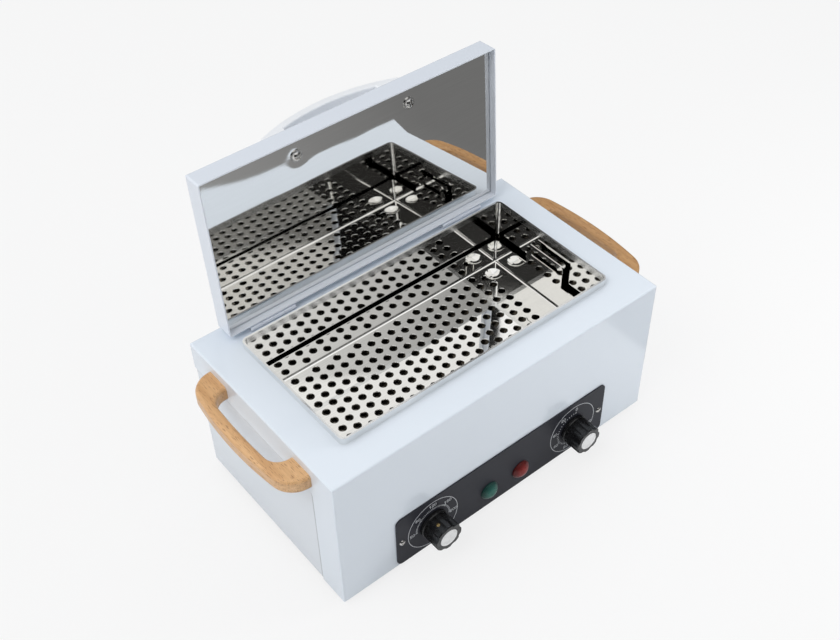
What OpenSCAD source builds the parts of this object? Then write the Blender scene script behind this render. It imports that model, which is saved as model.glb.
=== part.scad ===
// Dry heat sterilizer: a painted steel cabinet with a stainless chamber, a loose perforated tray,
// a hinged lid shown open, two dials, two lamps and wooden carrying handles.
// The origin is the middle of the footprint, on the surface that the feet stand on.

/* [Cabinet] */
// Width of the painted cabinet, side to side
body_w = 330; // [310:1:400]
// Depth of the painted cabinet, front to back
body_d = 191; // [186:1:240]
// Height of the painted cabinet above its feet
body_h = 140; // [136:1:170]
// Thickness of the painted sheet steel
sheet_t = 1; // [0.8:0.1:1.2]
// Outside radius of the folded edges
fold_r = 1.6; // [1.4:0.1:2.5]
// Width of the cover's flange down the front of each side
side_flange_w = 28; // [22:1:34]
// Width of the cover's flange along the top of the sides and the back
side_flange_h = 26; // [24:1:30]
// Corner radius between the two flanges of a side
side_window_r = 9; // [4:1:14]
// Width of the return flanges under the cabinet
return_w = 14; // [12:1:16]

/* [Feet] */
// Gap between the cabinet and the table
foot_h = 6; // [5:0.5:12]
// Radius of a rubber foot at its top
foot_r = 9; // [8:0.5:12]
// Distance of the feet from the cabinet's sides
foot_inset_x = 25; // [20:1:40]
// Distance of the feet from the cabinet's front and back
foot_inset_y = 25; // [24:1:40]

/* [Chamber] */
// Width of the chamber inside
chamber_w = 267.4; // [240:0.2:270]
// Depth of the chamber inside, front to back
chamber_d = 130.7; // [110:0.1:134]
// Depth of the chamber below its rim
chamber_h = 67; // [64:0.5:70]
// Radius of the chamber's corners
chamber_r = 3.5; // [3:0.5:8]
// Thickness of the stainless sheet
steel_t = 0.8; // [0.6:0.1:1]
// Height of the rim above the cabinet's top
rim_h = 6.7; // [5:0.1:8]
// Width of the hemmed rim
rim_w = 1.7; // [1.6:0.1:2.4]
// Distance that the chamber sits forward of the middle
chamber_forward = 0.7; // [0:0.1:2]

/* [Tray] */
// Gap between the tray and the chamber's walls
tray_gap = 2.5; // [2:0.1:4]
// Sideways place of the loose tray in the chamber
tray_slide = -1.7; // [-1.7:0.1:1.7]
// Height of the tray's walls inside
tray_wall_h = 24; // [18:1:34]
// Inside radius of the tray's folds
tray_fold_r = 2; // [1:0.5:3]
// Diameter of the tray's holes
hole_d = 6.8; // [4:0.2:7.6]
// Distance between hole columns
hole_pitch_x = 10.75; // [10:0.25:14]
// Distance between the holes of one column
hole_pitch_y = 11; // [10:0.5:14]
// Plain band at each end of the tray's floor
plain_band = 24.5; // [20:0.5:40]
// Depth of the feet pressed in the tray's floor
dimple_h = 3; // [2:0.5:4]
// Radius of the feet pressed in the tray's floor
dimple_r = 8.2; // [6:0.2:9]
// Distance of the pressed feet from the tray's walls
dimple_inset = 13.5; // [12:0.5:16]
// Width of the lifting tabs
tab_w = 44; // [38:1:70]
// Height of the lifting tabs above the tray's walls
tab_h = 23.5; // [18:0.5:25]
// Corner radius of the lifting tabs
tab_r = 4; // [2:0.5:6]
// Length of the slot in each tab
tab_slot_l = 34; // [24:1:36]
// Height of the slot in each tab
tab_slot_h = 5.4; // [5:0.2:8]

/* [Lid] */
// Distance that the lid reaches past the chamber's rim at each end
lid_over_x = 4; // [3:0.1:8]
// Distance that the lid reaches past the chamber's rim at its front and back
lid_over_y = 5.3; // [4.5:0.1:8]
// Height of the lid
lid_h = 18.6; // [16:0.2:30]
// Gap between the closed lid and the cabinet's top
lid_gap = 1; // [0.6:0.1:2]
// Gap between the closed lid's mirror plate and the rim
lid_plate_gap = 0.3; // [0.3:0.1:1]
// Angle that the lid stands open at
lid_open = 93; // [0:1:93]

/* [Lid handle] */
// Length of the lid handle
lid_handle_l = 132; // [120:1:160]
// Height of the lid handle
lid_handle_h = 31; // [26:1:40]
// Width of the lid handle
lid_handle_w = 13; // [10:0.5:16]
// Thickness of the lid handle's bar
lid_bar_t = 7.3; // [6:0.1:10]
// Drop of the lid handle's arc from its middle to its ends
lid_handle_drop = 14.5; // [8:0.5:16]
// Length of the lid handle's feet
lid_foot_l = 22; // [16:1:26]
// Rounding of the lid handle's edges
lid_handle_edge = 1.5; // [1:0.5:2.5]
// Distance from the lid's front edge to the middle of its handle
lid_handle_inset = 17.3; // [14:0.1:30]

/* [Hinges] */
// Distance between the middles of the two hinges
hinge_spacing = 198; // [140:2:220]
// Length of a hinge
hinge_l = 43; // [34:1:50]
// Length of each outer knuckle
knuckle_l = 11; // [8:0.5:14]
// Radius of the knuckles
knuckle_r = 2; // [1.9:0.1:2.2]
// Radius of the hinge pins
pin_r = 1; // [0.8:0.1:1.2]
// Thickness of the hinge leaves
leaf_t = 1; // [0.8:0.1:1.2]
// Width of the hinge leaves
leaf_w = 14; // [10:0.5:15]
// Distance of the hinge line behind the lid's back face
hinge_back = 3.35; // [3.2:0.05:3.6]

/* [Side handles] */
// Length of a wooden side handle
grip_l = 137; // [120:1:150]
// Distance that a side handle stands out
grip_out = 25.7; // [24:0.1:36]
// Thickness of the grip in plan
grip_t = 10; // [8:0.2:12]
// Height of the wooden bar
grip_h = 14; // [12:0.5:18]
// Bow of the grip over its length
grip_bow = 7; // [3:0.5:8]
// Radius of the grip's outer corners
grip_corner_r = 21; // [14:1:22]
// Radius of the finger gap's corners
grip_inner_r = 13; // [7:0.5:13]
// Length of each foot where it meets the cabinet
grip_foot_l = 25; // [22:1:36]
// Rounding of the wood's edges
grip_edge_r = 3.4; // [2:0.2:3.6]
// Height of the middle of the grips above the cabinet's bottom
grip_z = 124; // [122:0.5:128]

/* [Control panel] */
// Width of the control panel
panel_w = 227; // [222:1:260]
// Height of the control panel
panel_h = 57; // [55:1:64]
// Thickness of the control panel
panel_t = 1.2; // [1:0.1:2]
// Corner radius of the control panel
panel_r = 5.5; // [3:0.5:8]
// Distance of the panel's lower edge above the cabinet's bottom
panel_rise = 1.3; // [0.5:0.1:4]
// Sideways place of the control panel
panel_x = 1; // [-5:0.5:5]
// Distance between the two dials
dial_spacing = 154; // [140:1:160]
// Height of the dials above the cabinet's bottom
dial_z = 28.3; // [27:0.1:32]
// Distance between the panel's screws
panel_screw_spacing = 216.4; // [210:0.2:217]

/* [Knobs] */
// Radius of a knob's skirt
knob_skirt_r = 13.6; // [13.4:0.1:14.5]
// Thickness of a knob's skirt
knob_skirt_t = 3.2; // [2:0.2:4]
// Radius of a knob's fluted grip
knob_r = 13.2; // [12.5:0.1:13.2]
// Length of a knob
knob_l = 19.3; // [18:0.1:24]
// Number of flutes round a knob
knob_flutes = 8; // [6:1:10]
// Radius of a flute
flute_r = 5; // [4.5:0.5:8]
// Depth of a flute
flute_depth = 1.7; // [1:0.1:2]
// Radius of the metal disc in a knob
disc_r = 8.4; // [7:0.1:9]
// Gap between a knob and the panel
knob_gap = 0.6; // [0.4:0.1:1.5]
// Radius of the dial shafts
shaft_r = 3; // [2.5:0.1:3]

/* [Lamps] */
// Distance between the two lamps
lamp_spacing = 34.6; // [30:0.2:44]
// Height of the lamps above the cabinet's bottom
lamp_z = 20; // [18:0.5:24]
// Radius of a lamp's lens
lamp_r = 8.7; // [7:0.1:9]
// Height of a lamp's dome
lamp_dome_h = 4.6; // [2:0.2:6]

/* [Hidden] */
$fn = 64;

// Clearances
cut = 1; // overrun of every cutting tool
fit_gap = 0.3; // gap between pieces that only pass each other
run_gap = 0.05; // radial running clearance of a pin or shaft
hole_gap = 0.2; // radial clearance of a screw in sheet metal
hem_seat = 0.25; // gap between the chamber's wall and the edge of the opening

// Levels of the cabinet
bottom_z = foot_h;
top_z = foot_h + body_h;
pan_z = bottom_z + sheet_t;
floor_z = pan_z + sheet_t;
side_x = body_w / 2;
face_y = body_d / 2;
inner_y = face_y - sheet_t;
flange_x = side_x - sheet_t;
wrap_in_x = flange_x - sheet_t;
wrap_y = inner_y;
wrap_in_y = wrap_y - sheet_t;
wrap_top_z = top_z - fold_r - fit_gap;
window_h = body_h - side_flange_h;

// Levels of the chamber and its tray
chamber_y = -chamber_forward;
rim_z = top_z + rim_h;
liner_floor_z = rim_z - chamber_h;
liner_under_z = liner_floor_z - steel_t;
opening_w = chamber_w + 2 * (steel_t + hem_seat);
opening_d = chamber_d + 2 * (steel_t + hem_seat);
tray_w = chamber_w - 2 * tray_gap;
tray_d = chamber_d - 2 * tray_gap;
tray_under_z = liner_floor_z + dimple_h;
tray_top_z = tray_under_z + steel_t + tray_wall_h;
tab_top_z = tray_top_z + tab_h;
tab_slot_z = tab_top_z - 8.3;
hole_lead = 0.25;
dimple_ball_r = (dimple_r * dimple_r + dimple_h * dimple_h) / (2 * dimple_h);
perforated_w = tray_w - 2 * plain_band;
hole_columns = floor(perforated_w / hole_pitch_x + 0.5) + 1;
hole_rows = 2 * floor((tray_d / 2 - tray_fold_r - hole_d / 2 - 1) / hole_pitch_y) + 1;

// Lid, as it lies closed
lid_w = chamber_w + 2 * (rim_w + lid_over_x);
lid_d = chamber_d + 2 * (rim_w + lid_over_y);
lid_z = top_z + lid_gap;
lid_top_z = lid_z + lid_h;
lid_front_y = chamber_y - lid_d / 2;
lid_back_y = chamber_y + lid_d / 2;
plate_z = rim_z + lid_plate_gap;
plate_flange_h = 7;
lid_plate_w = lid_w - 2 * (sheet_t + fit_gap);
lid_plate_d = lid_d - 2 * (sheet_t + fit_gap);
lid_handle_y = lid_front_y + lid_handle_inset;
lid_screw_x = lid_handle_l / 2 - lid_foot_l / 2 - 1.3;
lid_screw_r = 2;
washer_r = 5.2;
washer_t = 0.8;
lid_screw_depth = 10;
lid_head_r = 4;
lid_head_h = 2.4;

// Hinge line
hinge_y = lid_back_y + hinge_back;
hinge_z = top_z + knuckle_r + fit_gap;
knuckle_gap = 0.3;

// Side handles
grip_world_z = bottom_z + grip_z;
grip_screw_y = grip_l / 2 - grip_foot_l / 2 + 1.5;
grip_screw_r = 2;
grip_screw_depth = 14;
grip_head_r = 4;
grip_head_h = 2.2;

// Control panel, knobs and lamps
panel_face_y = -face_y - panel_t;
knob_back_y = panel_face_y - knob_gap;
dial_world_z = bottom_z + dial_z;
dial_xs = [panel_x - dial_spacing / 2, panel_x + dial_spacing / 2];
lamp_world_z = bottom_z + lamp_z;
lamp_xs = [panel_x - lamp_spacing / 2, panel_x + lamp_spacing / 2];
bushing_r = 4.7;
bushing_out = 3.6;
nut_af = 14;
nut_t = 2.5;
knob_recess_r = 9;
knob_recess_h = 4.2;
knob_front_wall = 3;
disc_t = 1.2;
disc_seat = 1;
set_screw_r = 1.5;
set_screw_at = 10.2;
set_screw_sunk = 2.6;
shaft_flat = 0.6;
shaft_in = 16;
flute_angle = 109;
lamp_spigot_r = 5;
lamp_spigot_l = 8;
lamp_flange_t = 1;
lamp_holder_r = 7.5;
lamp_holder_l = 23;
panel_screw_r = 1.5;
panel_head_r = 2.8;
panel_head_h = 1.7;
timer_screw_angle = flute_angle - 180;

// Heater and controls under the chamber
heater_margin_x = 15.7;
heater_margin_y = 12.35;
heater_w = chamber_w - 2 * heater_margin_x;
heater_d = chamber_d - 2 * heater_margin_y;
heater_t = 3;
heater_under_z = liner_under_z - heater_t;
tube_r = 3.25;
tube_z = heater_under_z - tube_r;
tube_run_y = 26;
tube_run_x = 92;
strap_x = 56;
strap_w = 12;
strap_t = 0.8;
strap_foot = 9;
strap_leg_y = tube_run_y + tube_r + strap_t;
strap_screw_y = strap_leg_y + strap_foot / 2;
bulb_r = 3;
bulb_l = 84;
bulb_in = 11;
bulb_y = chamber_y - heater_d / 2 + bulb_in;
bulb_z = heater_under_z - bulb_r;
capillary_r = 0.8;
capillary_x = -70;
jacket_air = 8;
insulation_side = 22;
insulation_floor = 12;
insulation_under_z = tube_z - tube_r - 3 - insulation_floor;
shield_z = insulation_under_z - fit_gap - sheet_t;
shield_w = 300;
shield_d = 150;
shield_leg_d = 100;
shield_foot = 12;
thermostat_w = 34;
thermostat_h = 30;
thermostat_l = 24;
timer_w = 42;
timer_l = 30;
pan_wall = dial_world_z - timer_w / 2 - pan_z - 2 * fit_gap;
base_screw_xs = [-body_w / 3, 0, body_w / 3];
base_screw_r = 1.5;
small_head_r = 2.7;
small_head_h = 1.8;
small_screw_tip = 4;
foot_x = side_x - foot_inset_x;
foot_y = face_y - foot_inset_y;
foot_screw_r = 2;
foot_head_r = 3.8;
foot_head_h = 2.4;
foot_bore_h = 4;
foot_nut_t = 3.2;
foot_screw_tip = 1.8;
inlet_x = -90;
inlet_z = bottom_z + 30;
inlet_w = 27.6;
inlet_h = 20;
inlet_flange_w = 50;
inlet_flange_h = 24;
inlet_flange_t = 2.4;
inlet_l = 22;
inlet_screw_x = 20;
socket_w = 24.4;
socket_h = 16.6;
socket_depth = 17;
blade_l = 11.5;
terminal_x = 40;
terminal_y = 30;
terminal_w = 42;
terminal_d = 18;
terminal_h = 14;
earth_x = terminal_x + terminal_w + 20;

// Colours
paint = [0.89, 0.92, 0.96];
stainless = [0.78, 0.79, 0.78];
charcoal = [0.2, 0.2, 0.21];
black = [0.08, 0.08, 0.08];
beech = [0.82, 0.62, 0.4];
wool = [0.93, 0.9, 0.8];
plated = [0.72, 0.72, 0.7];
alloy = [0.75, 0.76, 0.77];
brass = [0.78, 0.63, 0.32];

// Rounded rectangle, centred, with true arcs
module round_rect(w, d, r) {
    square([w - 2 * r, d], center = true);
    square([w, d - 2 * r], center = true);
    for (sx = [-1, 1], sy = [-1, 1])
        translate([sx * (w / 2 - r), sy * (d / 2 - r)])
            circle(r);
}

// Rectangle on its base line whose two upper corners are round
module round_top(w, h, r) {
    translate([-w / 2, 0])
        square([w, h - r]);
    translate([-w / 2 + r, 0])
        square([w - 2 * r, h]);
    for (sx = [-1, 1])
        translate([sx * (w / 2 - r), h - r])
            circle(r);
}

// Folded box on its base plane whose upright and upper edges are round
module folded_box(w, d, h, r) {
    intersection() {
        linear_extrude(h)
            round_rect(w, d, r);
        translate([0, d / 2 + cut, 0])
            rotate([90, 0, 0])
                linear_extrude(d + 2 * cut)
                    round_top(w, h, r);
        translate([-w / 2 - cut, 0, 0])
            rotate([90, 0, 90])
                linear_extrude(w + 2 * cut)
                    round_top(d, h, r);
    }
}

// Folded pan on its base plane whose upright and lower edges are round
module folded_pan(w, d, h, r) {
    translate([0, 0, h])
        mirror([0, 0, 1])
            folded_box(w, d, h, r);
}

// Cylinder along Y from y0 to y1
module rod_y(r, y0, y1) {
    translate([0, y1, 0])
        rotate([90, 0, 0])
            cylinder(r = r, h = y1 - y0);
}

// Cylinder along X from x0 to x1
module rod_x(r, x0, x1) {
    translate([x0, 0, 0])
        rotate([0, 90, 0])
            cylinder(r = r, h = x1 - x0);
}

// Round wire through a list of points
module wire(points, r) {
    for (i = [0 : len(points) - 2]) {
        leg = points[i + 1] - points[i];
        translate(points[i])
            rotate([0, acos(leg[2] / norm(leg)), atan2(leg[1], leg[0])])
                cylinder(r = r, h = norm(leg));
    }
    for (i = [1 : len(points) - 2])
        translate(points[i])
            sphere(r * 1.05);
}

// Domed screw with a cross slot: head on z = 0 pointing up, shank pointing down
module pan_screw(r, head_r, head_h, length) {
    ball_r = (head_r * head_r + head_h * head_h) / (2 * head_h);
    slot_w = head_r * 0.28;
    difference() {
        union() {
            intersection() {
                translate([0, 0, head_h - ball_r])
                    sphere(ball_r);
                cylinder(r = head_r, h = head_h);
            }
            translate([0, 0, -length])
                cylinder(r = r, h = length + head_h / 3);
        }
        for (a = [0, 90])
            rotate(a)
                translate([-head_r * 0.55, -slot_w / 2, head_h * 0.55])
                    cube([head_r * 1.1, slot_w, head_h]);
    }
}

// Hexagon nut from z = 0 upwards
module hex_nut(across_flats, height, bore_r) {
    difference() {
        cylinder(r = across_flats / sqrt(3), h = height, $fn = 6);
        translate([0, 0, -cut])
            cylinder(r = bore_r, h = height + 2 * cut);
    }
}

// Moves a lid piece from its closed place to the open one
module lid_pose() {
    translate([0, hinge_y, hinge_z])
        rotate([-lid_open, 0, 0])
            translate([0, -hinge_y, -hinge_z])
                children();
}

// Places children at each dial's centre on the cover's front face, axis along Y
module at_dial(i) {
    translate([dial_xs[i], 0, dial_world_z])
        children();
}

// Cabinet

module cover_openings() {
    translate([0, chamber_y, top_z - 2 * sheet_t])
        linear_extrude(4 * sheet_t)
            round_rect(opening_w, opening_d, chamber_r + steel_t);
    front_y = -face_y + side_flange_w;
    translate([-side_x - cut, 0, bottom_z])
        rotate([90, 0, 90])
            linear_extrude(body_w + 2 * cut)
                union() {
                    translate([front_y, -cut])
                        square([body_d, window_h + cut - side_window_r]);
                    translate([front_y + side_window_r, -cut])
                        square([body_d, window_h + cut]);
                    translate([front_y + side_window_r, window_h - side_window_r])
                        circle(side_window_r);
                }
}

module panel_holes(y0, y1) {
    for (i = [0, 1]) {
        at_dial(i)
            rod_y(bushing_r + hole_gap, y0, y1);
        translate([lamp_xs[i], 0, lamp_world_z])
            rod_y(lamp_spigot_r + hole_gap, y0, y1);
        translate([panel_x + (i - 0.5) * panel_screw_spacing, 0, dial_world_z])
            rod_y(panel_screw_r + hole_gap, y0, y1);
    }
}

module handle_holes(x0, x1) {
    for (sy = [-1, 1])
        translate([0, sy * grip_screw_y, grip_world_z])
            rod_x(grip_screw_r + hole_gap, x0, x1);
}

module base_screw_holes() {
    for (x = base_screw_xs, sy = [-1, 1])
        translate([x, sy * (face_y - return_w / 2), bottom_z - cut])
            cylinder(r = base_screw_r + hole_gap, h = 2 * sheet_t + 2 * cut);
}

module outer_cover() {
    color(paint)
        difference() {
            translate([0, 0, bottom_z])
                folded_box(body_w, body_d, body_h, fold_r);
            translate([0, 0, pan_z])
                folded_box(2 * flange_x, 2 * inner_y, body_h - 2 * sheet_t, fold_r - sheet_t);
            translate([-flange_x, -face_y + return_w, bottom_z - cut])
                cube([2 * flange_x, body_d, 2 * cut]);
            cover_openings();
            panel_holes(-face_y - cut, -inner_y + cut);
            handle_holes(-side_x - cut, side_x + cut);
            base_screw_holes();
        }
}

// Plan of the folded sides and back, drawn in from their outer faces
module wrap_outline(inset) {
    intersection() {
        round_rect(2 * (flange_x - inset), 2 * (wrap_y - inset), fold_r - inset);
        translate([-side_x, -inner_y + fold_r])
            square([body_w, body_d]);
    }
}

module rear_wrap() {
    color(paint)
        difference() {
            translate([0, 0, bottom_z])
                linear_extrude(wrap_top_z - bottom_z)
                    wrap_outline(0);
            translate([0, 0, pan_z])
                linear_extrude(body_h)
                    round_rect(2 * wrap_in_x, 2 * wrap_in_y, fold_r - sheet_t);
            translate([-wrap_in_x, -face_y, bottom_z - cut])
                cube([2 * wrap_in_x, face_y + wrap_y - return_w, 2 * cut]);
            translate([-side_x, -face_y, bottom_z - cut])
                cube([body_w, return_w + fit_gap, cut + sheet_t + fit_gap]);
            handle_holes(-side_x, side_x);
            base_screw_holes();
            translate([inlet_x - inlet_w / 2 - hole_gap, wrap_in_y - cut, inlet_z - inlet_h / 2 - hole_gap])
                cube([inlet_w + 2 * hole_gap, 2 * cut + sheet_t, inlet_h + 2 * hole_gap]);
            for (sx = [-1, 1])
                translate([inlet_x + sx * inlet_screw_x, 0, inlet_z])
                    rod_y(base_screw_r + hole_gap, wrap_in_y - cut, wrap_y + cut);
        }
}

module base_pan() {
    pan_w = 2 * (wrap_in_x - fit_gap);
    pan_front_y = -inner_y + fit_gap;
    pan_back_y = wrap_in_y - fit_gap;
    pan_d = pan_back_y - pan_front_y;
    pan_y = (pan_front_y + pan_back_y) / 2;
    vent_x = body_w * 0.21;
    vent_l = 26;
    vent_w = 3;
    vent_pitch = 9;
    vents = 5;
    color(plated)
        difference() {
            translate([0, pan_y, pan_z])
                folded_pan(pan_w, pan_d, pan_wall, fold_r);
            translate([0, pan_y, floor_z])
                folded_pan(pan_w - 2 * sheet_t, pan_d - 2 * sheet_t, pan_wall, fold_r - sheet_t);
            base_screw_holes();
            for (sx = [-1, 1], sy = [-1, 1])
                translate([sx * foot_x, sy * foot_y, pan_z - cut])
                    cylinder(r = foot_screw_r + hole_gap, h = sheet_t + 2 * cut);
            for (i = [0 : vents - 1], sx = [-1, 1])
                translate([sx * vent_x, (i - (vents - 1) / 2) * vent_pitch, pan_z - cut])
                    linear_extrude(sheet_t + 2 * cut)
                        round_rect(vent_l, vent_w, vent_w / 2 - 0.01);
            translate([earth_x, terminal_y, pan_z - cut])
                cylinder(r = foot_screw_r + hole_gap, h = sheet_t + 2 * cut);
        }
}

module feet() {
    color(black)
        for (sx = [-1, 1], sy = [-1, 1])
            translate([sx * foot_x, sy * foot_y, 0])
                difference() {
                    rotate_extrude()
                        polygon([[0, 0], [foot_r - 2, 0], [foot_r - 1, 1], [foot_r, pan_z], [0, pan_z]]);
                    translate([0, 0, -cut])
                        cylinder(r = foot_head_r + 3 * hole_gap, h = foot_bore_h + cut);
                    cylinder(r = foot_screw_r + hole_gap, h = pan_z + cut);
                }
}

module foot_screws() {
    color(plated)
        for (sx = [-1, 1], sy = [-1, 1])
            translate([sx * foot_x, sy * foot_y, foot_bore_h])
                mirror([0, 0, 1])
                    pan_screw(foot_screw_r, foot_head_r, foot_head_h,
                              floor_z - foot_bore_h + foot_nut_t + foot_screw_tip);
}

module foot_nuts() {
    color(plated)
        for (sx = [-1, 1], sy = [-1, 1])
            translate([sx * foot_x, sy * foot_y, floor_z])
                hex_nut(3.5 * foot_screw_r, foot_nut_t, foot_screw_r + run_gap);
}

module base_screws() {
    color(plated)
        for (x = base_screw_xs, sy = [-1, 1])
            translate([x, sy * (face_y - return_w / 2), bottom_z])
                mirror([0, 0, 1])
                    pan_screw(base_screw_r, small_head_r, small_head_h, 2 * sheet_t + small_screw_tip);
}

// Chamber

module chamber_liner() {
    rim_outer_w = chamber_w + 2 * rim_w;
    rim_outer_d = chamber_d + 2 * rim_w;
    color(stainless)
        translate([0, chamber_y, 0])
            difference() {
                union() {
                    translate([0, 0, liner_under_z])
                        folded_pan(chamber_w + 2 * steel_t, chamber_d + 2 * steel_t,
                                   rim_z - liner_under_z, chamber_r + steel_t);
                    translate([0, 0, top_z])
                        linear_extrude(rim_h)
                            round_rect(rim_outer_w, rim_outer_d, chamber_r + rim_w);
                }
                translate([0, 0, liner_floor_z])
                    folded_pan(chamber_w, chamber_d, chamber_h + cut, chamber_r);
            }
}

// Cutter of one hole: a straight bore with a slight lead-in on the upper side of the sheet
module tray_hole() {
    top = cut + steel_t;
    rotate_extrude($fn = 32)
        polygon([[0, 0], [hole_d / 2, 0], [hole_d / 2, top - hole_lead], [hole_d / 2 + hole_lead, top],
                 [hole_d / 2 + hole_lead, top + cut], [0, top + cut]]);
}

module tray_holes() {
    for (i = [0 : hole_columns - 1]) {
        staggered = i % 2 == 0;
        rows = staggered ? hole_rows - 1 : hole_rows;
        for (j = [0 : rows - 1])
            translate([(i - (hole_columns - 1) / 2) * hole_pitch_x, (j - (rows - 1) / 2) * hole_pitch_y, 0])
                tray_hole();
    }
}

module tray_tab() {
    tab_z = tray_top_z - tab_h / 2;
    translate([-tray_w / 2 + steel_t, 0, 0])
        rotate([90, 0, -90])
            linear_extrude(steel_t)
                difference() {
                    translate([0, tab_z])
                        round_top(tab_w, tab_top_z - tab_z, tab_r);
                    translate([0, tab_slot_z])
                        round_rect(tab_slot_l, tab_slot_h, tab_slot_h / 2 - 0.01);
                }
}

module tray() {
    dimple_x = tray_w / 2 - steel_t - dimple_inset;
    dimple_y = tray_d / 2 - steel_t - dimple_inset;
    color(stainless)
        translate([tray_slide, chamber_y, 0])
            difference() {
                union() {
                    translate([0, 0, tray_under_z])
                        folded_pan(tray_w, tray_d, tray_top_z - tray_under_z, tray_fold_r + steel_t);
                    for (sx = [-1, 1], sy = [-1, 1])
                        translate([sx * dimple_x, sy * dimple_y, liner_floor_z])
                            tray_dimple(dimple_ball_r, dimple_h + steel_t / 2);
                    tray_tab();
                    mirror([1, 0, 0])
                        tray_tab();
                }
                translate([0, 0, tray_under_z + steel_t])
                    folded_pan(tray_w - 2 * steel_t, tray_d - 2 * steel_t, tray_wall_h + cut, tray_fold_r);
                for (sx = [-1, 1], sy = [-1, 1])
                    translate([sx * dimple_x, sy * dimple_y, liner_floor_z])
                        tray_dimple(dimple_ball_r - steel_t, dimple_h + steel_t + 0.2);
                translate([0, 0, tray_under_z - cut])
                    tray_holes();
            }
}

// Cap of a ball that stands on the chamber's floor, up to the given height
module tray_dimple(r, height) {
    intersection() {
        translate([0, 0, dimple_ball_r])
            sphere(r);
        cylinder(r = dimple_r + cut, h = height);
    }
}

module insulation_jacket() {
    inner_w = chamber_w + 2 * (steel_t + fit_gap);
    inner_d = chamber_d + 2 * (steel_t + fit_gap);
    jacket_w = inner_w + 2 * insulation_side;
    jacket_d = 2 * (wrap_in_y - jacket_air);
    top = top_z - sheet_t - fit_gap;
    hollow_z = insulation_under_z + insulation_floor;
    color(wool)
        difference() {
            translate([0, 0, insulation_under_z])
                linear_extrude(top - insulation_under_z)
                    round_rect(jacket_w, jacket_d, 12);
            translate([0, chamber_y, hollow_z])
                linear_extrude(top - hollow_z + cut)
                    round_rect(inner_w, inner_d, chamber_r + steel_t);
            translate([capillary_x, bulb_y, insulation_under_z - cut])
                cylinder(r = 2, h = insulation_floor + 2 * cut);
        }
}

module heat_shield() {
    leg_x = shield_w / 2;
    color(plated)
        difference() {
            union() {
                translate([-leg_x, chamber_y - shield_d / 2, shield_z])
                    cube([shield_w, shield_d, sheet_t]);
                for (sx = [-1, 1]) {
                    translate([sx * (leg_x - sheet_t / 2) - sheet_t / 2, -shield_leg_d / 2, floor_z])
                        cube([sheet_t, shield_leg_d, shield_z - floor_z + sheet_t]);
                    translate([sx * leg_x - (sx + 1) * shield_foot / 2, -shield_leg_d / 2, floor_z])
                        cube([shield_foot, shield_leg_d, sheet_t]);
                }
            }
            translate([capillary_x, bulb_y, shield_z - cut])
                cylinder(r = 2, h = sheet_t + 2 * cut);
        }
}

module heater_plate() {
    color(alloy)
        translate([0, chamber_y, heater_under_z])
            difference() {
                linear_extrude(heater_t)
                    round_rect(heater_w, heater_d, 8);
                for (sx = [-1, 1], sy = [-1, 1])
                    translate([sx * strap_x, sy * strap_screw_y, -cut])
                        cylinder(r = base_screw_r + run_gap, h = heater_t + cut - 0.4);
            }
}

module heater_element() {
    terminal_l = 14;
    color(plated)
        translate([0, chamber_y, tube_z]) {
            for (sy = [-1, 1]) {
                translate([0, sy * tube_run_y, 0])
                    rod_x(tube_r, -tube_run_x + tube_run_y, tube_run_x);
                translate([0, sy * tube_run_y, 0])
                    rod_x(tube_r / 2, tube_run_x, tube_run_x + terminal_l);
            }
            translate([-tube_run_x + tube_run_y, 0, 0])
                intersection() {
                    rotate_extrude()
                        translate([tube_run_y, 0])
                            circle(tube_r);
                    translate([-2 * tube_run_y, -2 * tube_run_y, -tube_run_y])
                        cube([2 * tube_run_y, 4 * tube_run_y, 2 * tube_run_y]);
                }
        }
}

module heater_straps() {
    drop = 2 * tube_r + strap_t;
    color(plated)
        for (sx = [-1, 1])
            translate([sx * strap_x - strap_w / 2, chamber_y, heater_under_z])
                rotate([90, 0, 90])
                    difference() {
                        linear_extrude(strap_w)
                            union() {
                                translate([-strap_leg_y, -drop])
                                    square([2 * strap_leg_y, strap_t]);
                                for (sy = [-1, 1]) {
                                    translate([sy * (strap_leg_y - strap_t / 2) - strap_t / 2, -drop])
                                        square([strap_t, drop]);
                                    translate([sy * strap_screw_y - strap_foot / 2 - strap_t / 2, -strap_t])
                                        square([strap_foot + strap_t, strap_t]);
                                }
                            }
                        for (sy = [-1, 1])
                            translate([sy * strap_screw_y, -strap_t - cut, strap_w / 2])
                                rotate([-90, 0, 0])
                                    cylinder(r = base_screw_r + hole_gap, h = strap_t + 2 * cut);
                    }
}

module strap_screws() {
    color(plated)
        for (sx = [-1, 1], sy = [-1, 1])
            translate([sx * strap_x, chamber_y + sy * strap_screw_y, heater_under_z - strap_t])
                mirror([0, 0, 1])
                    pan_screw(base_screw_r, small_head_r, small_head_h, strap_t + heater_t - 0.8);
}

module thermal_cutout() {
    cap_h = 5;
    color(charcoal)
        translate([0, chamber_y, heater_under_z - cap_h]) {
            cylinder(r = 8, h = cap_h);
            for (sx = [-1, 1])
                translate([sx * 5 - 0.4, -3, -2])
                    cube([0.8, 6, 2.5]);
        }
}

module sensing_bulb() {
    exit_x = dial_xs[0] + thermostat_w / 2 - 6;
    exit_z = dial_world_z + 8;
    neck_r = 1.5 * capillary_r;
    color(plated) {
        translate([capillary_x + 8, bulb_y, bulb_z])
            rotate([0, 90, 0])
                rotate_extrude()
                    polygon([[0, 0], [neck_r, 0], [bulb_r, bulb_r], [bulb_r, bulb_l - bulb_r / 3],
                             [bulb_r * 2 / 3, bulb_l], [0, bulb_l]]);
        wire([[capillary_x + 9, bulb_y, bulb_z], [capillary_x, bulb_y, bulb_z],
              [capillary_x, bulb_y, exit_z + 6], [capillary_x, bulb_y - 10, exit_z],
              [exit_x, -inner_y + thermostat_l + 8, exit_z],
              [exit_x, -inner_y + thermostat_l + 0.01, exit_z]], capillary_r);
    }
}

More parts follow.
